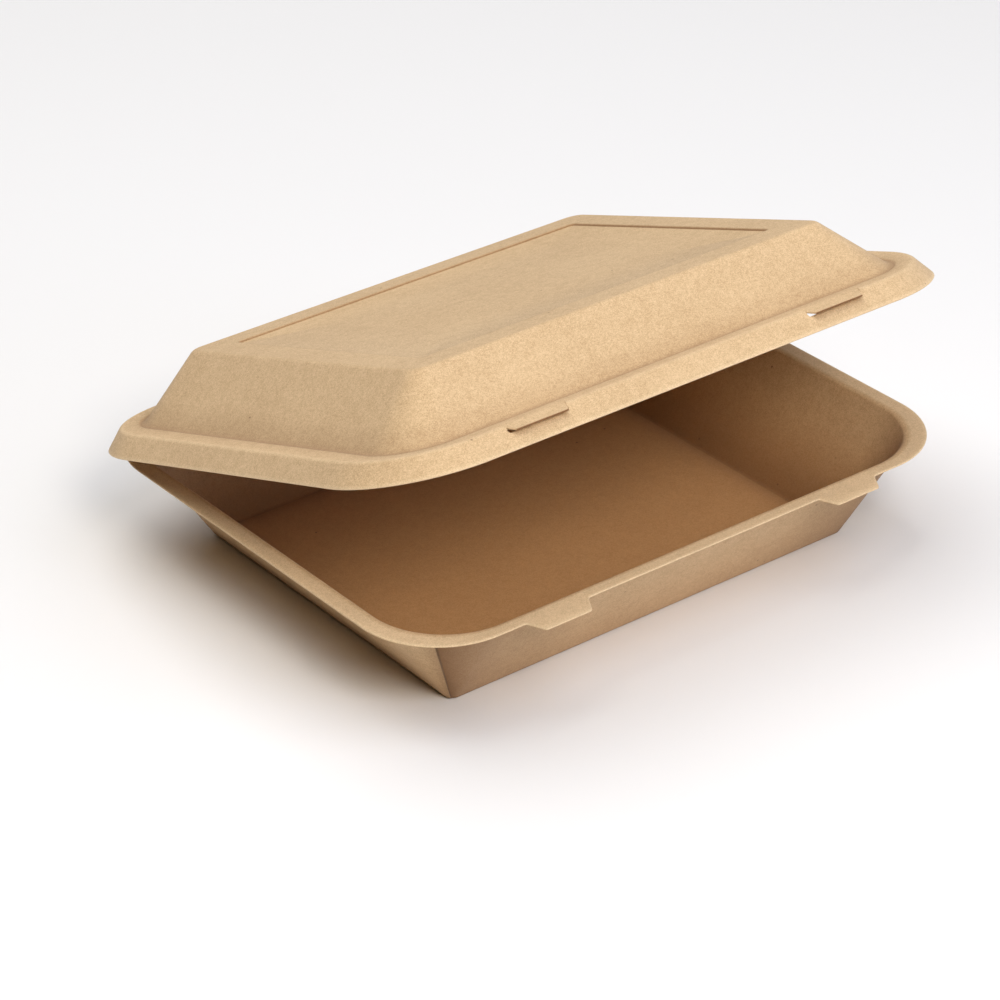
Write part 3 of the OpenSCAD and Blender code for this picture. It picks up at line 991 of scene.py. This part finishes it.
def cut_latch(b, s, t, marks, knot):
    """Opens a slit under each tongue and lays the tongue over it."""
    row_of = b.verts.layers.float["row"]
    crease = b.verts.layers.float["crease"]
    middle, tongue = t.tab_pitch / 2, s.tongue_root / 2
    tongue_y, slit_row, level_row, root_row = (
        marks[key] for key in ("tongue_y", "slit", "level", "root")
    )
    taper = (tongue - s.tongue_tip / 2) / s.tongue_len
    tab_taper = (t.tab_root - t.tab_tip) / 2 / t.tab_len
    front = [v for v in b.verts if v.co.y < 0 and v[row_of] > root_row - HALF_ROW]
    slit_y = max(-v.co.y for v in front if abs(v[row_of] - slit_row) < HALF_ROW)
    # each point's distance from the middle of its tab
    before = {}
    for v in front:
        off = abs(v.co.x) - middle
        if abs(off) < LATCH_REACH - HAIR:
            before[v] = off
    gone = []
    for f in b.faces:
        if all(v in before for v in f.verts):
            where = sum(v[row_of] for v in f.verts) / len(f.verts)
            off = abs(sum(before[v] for v in f.verts) / len(f.verts))
            if root_row < where < level_row and off < knot[1]:
                gone.append(f)
            elif level_row < where < slit_row and off < knot[2]:
                gone.append(f)
    # the columns lean with the slanted ends of tongue and tab
    was = (0.0, *knot)
    for v, off in before.items():
        y = min(max(-v.co.y, tongue_y), slit_y)
        flap = tongue - (y - tongue_y) * taper
        slit = t.tab_root / 2 - (y - t.rim_dep / 2) * tab_taper + s.side_gap
        now = (0.0, flap, flap + s.tongue_cut, slit, LATCH_REACH)
        i = sum(abs(off) > edge + HAIR for edge in was[1:])
        part = (abs(off) - was[i]) / (was[i + 1] - was[i])
        new = now[i] + part * (now[i + 1] - now[i])
        side = 1 if v.co.x > 0 else -1
        v.co.x = side * (middle + (new if off > 0 else -new))
    roots = {-1: [], 1: []}
    for v, off in before.items():
        if abs(v[row_of] - root_row) < HALF_ROW and abs(off) < tongue + HAIR:
            roots[1 if v.co.x > 0 else -1].append(v)
    bmesh.ops.delete(b, geom=gone, context="FACES")
    for side, root in roots.items():
        root.sort(key=lambda v: v.co.x)
        last, z0 = root, root[0].co.z
        for part in (0.25, 0.5, 0.75, 0.93, 1.0):
            y = s.tongue_len * part
            wide = 1 - y * taper / tongue
            z = z0 + (marks["tip_z"] - z0) * part
            new = []
            for v in root:
                x = side * middle + (v.co.x - side * middle) * wide
                new.append(b.verts.new((x, -tongue_y - y, z)))
            for j in range(len(root) - 1):
                b.faces.new((last[j], new[j], new[j + 1], last[j + 1]))
            last = new
        # painted shadow: a dark line along the tongue's tip stands in for the shade of the gap under it
        for v in last:
            v[crease] = 0.95


def cut_back(b, s, t, marks):
    """Gives the back its hinge strip and lifts the skirt's edge clear of the hinge."""
    row_of = b.verts.layers.float["row"]
    half = s.hinge_len / 2 + HAIR
    ledge = s.lid_gap + t.sheet
    strip = marks["strip"]

    def at_strip(v):
        """On the strip's row or beyond it, where the hinge is."""
        return v.co.y > 0 and abs(v.co.x) < half and v[row_of] > strip - HALF_ROW

    last = [v for v in b.verts if at_strip(v) and v[row_of] < strip + HALF_ROW]
    last.sort(key=lambda v: v.co.x)
    gone = [f for f in b.faces if all(at_strip(v) for v in f.verts)]
    bmesh.ops.delete(b, geom=gone, context="FACES")
    start, end = last[0].co.y, HINGE_Y - s.hinge_gap
    for i in range(1, 4):
        y = start + (end - start) * i / 3
        new = [b.verts.new((v.co.x, y, ledge)) for v in last]
        for v in new:
            v[row_of] = NO_ROW
        for j in range(len(new) - 1):
            b.faces.new((last[j], last[j + 1], new[j + 1], new[j]))
        last = new
    # the skirt goes where it would meet the rim as the lid swings back: below a height
    # and behind a slanted plane through the rim's back edge
    top = s.lid_gap + 0.64 * t.sheet
    line = t.rim_dep / 2 - s.lid_gap
    for place, normal in (((0, 0, top), (0, 0, 1)), ((0, line, 0), (0, 1, -1))):
        low = [
            f
            for f in b.faces
            if f.calc_center_median().y > BACK
            and min(v[row_of] for v in f.verts) >= marks["root"]
        ]
        parts = low + list(dict.fromkeys(e for f in low for e in f.edges))
        parts += list(dict.fromkeys(v for f in low for v in f.verts))
        cut = {"plane_co": place, "plane_no": normal, "dist": HAIR}
        bmesh.ops.bisect_plane(b, geom=parts, **cut)
    gone = []
    for f in b.faces:
        c = f.calc_center_median()
        below = c.y > BACK and c.z < top and c.y - c.z > line
        if below and all(v[row_of] > 0 for v in f.verts):
            gone.append(f)
    bmesh.ops.delete(b, geom=gone, context="FACES")
    loose = [v for v in b.verts if not v.link_faces]
    bmesh.ops.delete(b, geom=loose, context="VERTS")


class MakeHingeFold(bpy.types.Operator):
    """Make the fold of sheet that joins the two halves at the back"""

    bl_idname = "takeaway.make_hinge_fold"
    bl_label = "Hinge fold"

    def execute(self, context):
        s, t = context.scene.takeaway_lid, context.scene.takeaway_tray
        material = bpy.data.materials.get("kraft_fibre_lid") or kraft_fibre(
            "kraft_fibre_lid", context.scene.takeaway_fibre, False
        )
        # two bent lines round the hinge, inside and outside, with a short straight end
        # on each half's strip
        clear, lap, narrower = 0.0001, 0.0005, 0.0006
        near = s.lid_gap / 2 + clear
        far = near + 0.6 * t.sheet
        reach = s.hinge_gap + lap
        steps, stop = 14, pi / 2 - OPEN
        lines = []
        for radius in (near, far):
            line = [(HINGE_Y - reach, HINGE_Z - radius)]
            for i in range(steps + 1):
                a = -pi / 2 + (pi - OPEN) * i / steps
                line.append((HINGE_Y + radius * cos(a), HINGE_Z + radius * sin(a)))
            y = HINGE_Y + radius * cos(stop) - reach * sin(stop)
            line.append((y, HINGE_Z + radius * sin(stop) + reach * cos(stop)))
            lines.append(line)
        section = lines[0] + lines[1][::-1]
        mesh = bar_mesh("hinge_fold", section, s.hinge_len - narrower)
        mesh.materials.append(material)
        made = bpy.data.objects.new("hinge_fold", mesh)
        context.scene.collection.objects.link(made)
        smooth(mesh)
        start, end = (0, HINGE_Y, HINGE_Z - far), (0, HINGE_Y, HINGE_Z + far)
        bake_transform(made, "tray", "lid", start=start, end=end)
        return {"FINISHED"}


class MakeStudio(bpy.types.Operator):
    """Make the floor, the soft lights and the camera"""

    bl_idname = "takeaway.make_studio"
    bl_label = "Studio"

    def execute(self, context):
        look = context.scene.takeaway_studio
        mesh = bpy.data.meshes.new("floor")
        half, level = 8.0, -0.0002
        corners = ((-half, -half), (half, -half), (half, half), (-half, half))
        mesh.from_pydata([(x, y, level) for x, y in corners], [], [(0, 1, 2, 3)])
        mesh.materials.append(plain("studio_floor", look.floor, 0.7))
        ground = bpy.data.objects.new("floor", mesh)
        context.scene.collection.objects.link(ground)

        def lamp(name, place, target, size, power, tint=(1, 1, 1)):
            """A round soft lamp that looks at its target."""
            data = bpy.data.lights.new(name, "AREA")
            data.shape, data.size, data.energy, data.color = "DISK", size, power, tint
            made = bpy.data.objects.new(name, data)
            context.scene.collection.objects.link(made)
            made.location = place
            way = Vector(target) - Vector(place)
            made.rotation_euler = way.to_track_quat("-Z", "Y").to_euler()

        cool, blue = (0.96, 1.0, 1.12), (0.8, 0.95, 1.3)
        warm, amber = (1.0, 0.93, 0.82), (1.0, 0.82, 0.62)
        box, behind = (0, 0, 0.05), (0, 0.4, 0)
        lamp("key_light", (0.25, -1.1, 1.6), box, 1.8, look.key, cool)
        lamp("top_light", (-0.3, 0.7, 2.0), behind, 2.2, look.top)
        lamp("side_light", (-0.4, -1.35, 1.25), box, 0.6, look.side, warm)
        lamp("front_light", (1.0, -1.6, 0.55), box, 0.8, look.front, blue)
        world = bpy.data.worlds.new("surroundings")
        world.use_nodes = True
        shade = world.node_tree.nodes["Background"]
        shade.inputs["Color"].default_value = rgba(amber)
        shade.inputs["Strength"].default_value = look.fill
        context.scene.world = world

        data = bpy.data.cameras.new("camera")
        data.sensor_width, data.lens = 36, look.lens
        camera = bpy.data.objects.new("camera", data)
        context.scene.collection.objects.link(camera)
        a, e, r = look.azimuth, look.elevation, look.roll
        back = Vector((sin(a) * cos(e), -cos(a) * cos(e), sin(e)))
        right = Vector((cos(a), sin(a), 0))
        up = back.cross(right)
        across, upward = cos(r) * right + sin(r) * up, cos(r) * up - sin(r) * right
        turn = Matrix((across, upward, back)).transposed().to_4x4()
        camera.matrix_world = Matrix.Translation(look.place) @ turn
        context.scene.camera = camera
        context.scene.view_settings.view_transform = "Standard"
        return {"FINISHED"}


class BoxPanel(bpy.types.Panel):
    """Lists the box's sizes, its looks and the steps that make it"""

    bl_idname = "VIEW3D_PT_takeaway_box"
    bl_label = "Takeaway box"
    bl_space_type = "VIEW_3D"
    bl_region_type = "UI"
    bl_category = "Takeaway box"

    def draw(self, context):
        for step in STEPS:
            self.layout.operator(step.bl_idname)
        for key, kind in GROUPS.items():
            column = self.layout.column(heading=kind.__doc__)
            for prop in kind.__annotations__:
                column.prop(getattr(context.scene, key), prop)


GROUPS = {
    "takeaway_tray": TraySizes,
    "takeaway_lid": LidSizes,
    "takeaway_fibre": FibreLook,
    "takeaway_studio": StudioLook,
}
STEPS = (MakeTray, MakeLid, MakeHingeFold, MakeStudio)


def register():
    for kind in (*GROUPS.values(), *STEPS, BoxPanel):
        bpy.utils.register_class(kind)
    for key, kind in GROUPS.items():
        setattr(bpy.types.Scene, key, bpy.props.PointerProperty(type=kind))


def unregister():
    for key in GROUPS:
        delattr(bpy.types.Scene, key)
    for kind in reversed((*GROUPS.values(), *STEPS, BoxPanel)):
        bpy.utils.unregister_class(kind)


def main():
    """Makes the box and its studio, and writes both sizes."""
    register()
    bpy.ops.takeaway.make_tray()
    bpy.ops.takeaway.make_lid()
    bpy.ops.takeaway.make_hinge_fold()
    bpy.ops.takeaway.make_studio()


if __name__ == "__main__":
    main()
